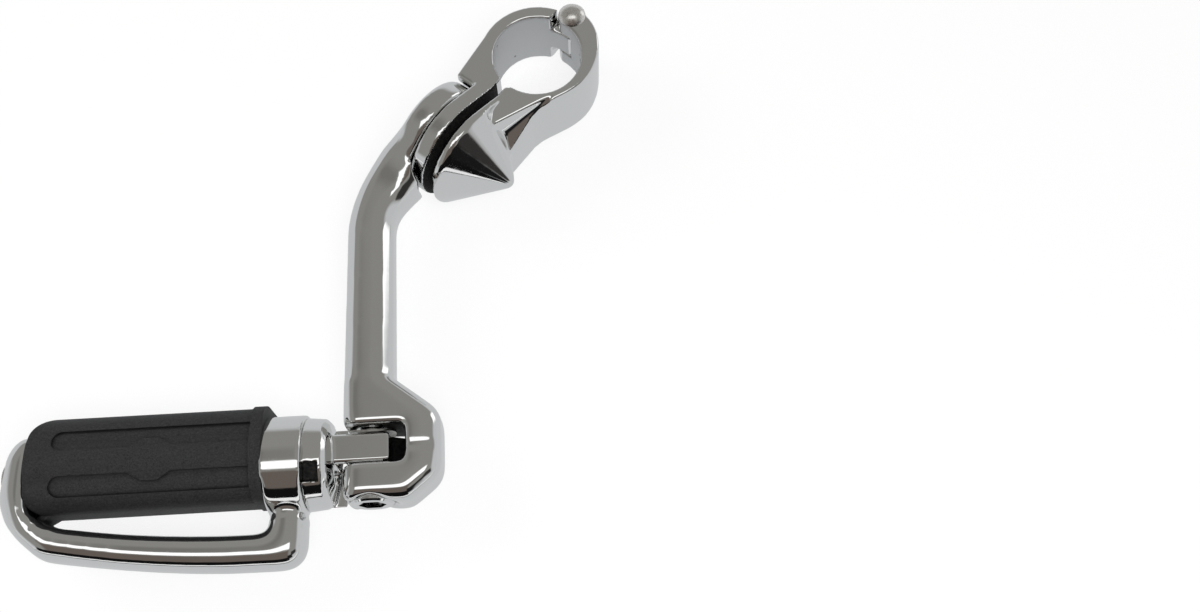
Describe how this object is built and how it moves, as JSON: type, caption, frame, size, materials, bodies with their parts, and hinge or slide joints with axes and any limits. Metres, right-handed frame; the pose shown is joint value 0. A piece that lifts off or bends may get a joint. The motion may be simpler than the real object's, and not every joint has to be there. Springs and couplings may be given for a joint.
{
  "type": "motorcycle highway peg",
  "caption": "Long-arm folding highway footpeg on a hinged tube clamp, with a rubber sleeve in a chromed stirrup frame.",
  "frame": {"origin": "centre of the clamp bore, halfway through the clamp's width", "axes": "+Z along the clamp bore, the arm's leg hangs along -Y and the peg points along -X"},
  "size_m": [0.2035, 0.2003, 0.04],
  "materials": {
    "chrome": "polished chrome plate on cast metal",
    "hinge_pin_steel": "satin nickel",
    "plated_steel": "zinc plated",
    "rubber": "matt moulded rubber"
  },
  "bodies": {
    "root": {"clamp_fixed_jaw": "chrome", "clamp_hinge_pin": "hinge_pin_steel", "clamp_bolt": "chrome", "clamp_bolt_washer": "plated_steel", "clamp_lock_washer": "plated_steel"},
    "swing_jaw": {"clamp_swing_jaw": "chrome"},
    "arm": {"arm": "chrome", "clevis_bolt": "chrome", "clevis_lock_screw": "plated_steel", "clevis_wave_washer": "plated_steel"},
    "peg": {"peg_mount": "chrome", "peg_core": "plated_steel", "peg_bolt": "plated_steel", "peg_bolt_washer": "plated_steel", "rubber_pad": "rubber", "peg_frame": "chrome"}
  },
  "joints": [
    {"name": "jaw_hinge", "type": "hinge", "parent": "root", "child": "swing_jaw", "pos_m": [0.0135, 0.01609, 0], "axis": [0, 0, 1], "range_deg": [0, 2.5]},
    {"name": "arm_swivel", "type": "hinge", "parent": "root", "child": "arm", "pos_m": [-0.03619, -0.02446, 0], "axis": [0.766, -0.6428, 0], "range_deg": [-90, 90]},
    {"name": "peg_fold", "type": "hinge", "parent": "arm", "child": "peg", "pos_m": [-0.0608, -0.1426, 0], "axis": [0, 1, 0], "range_deg": [0, 90]}
  ]
}
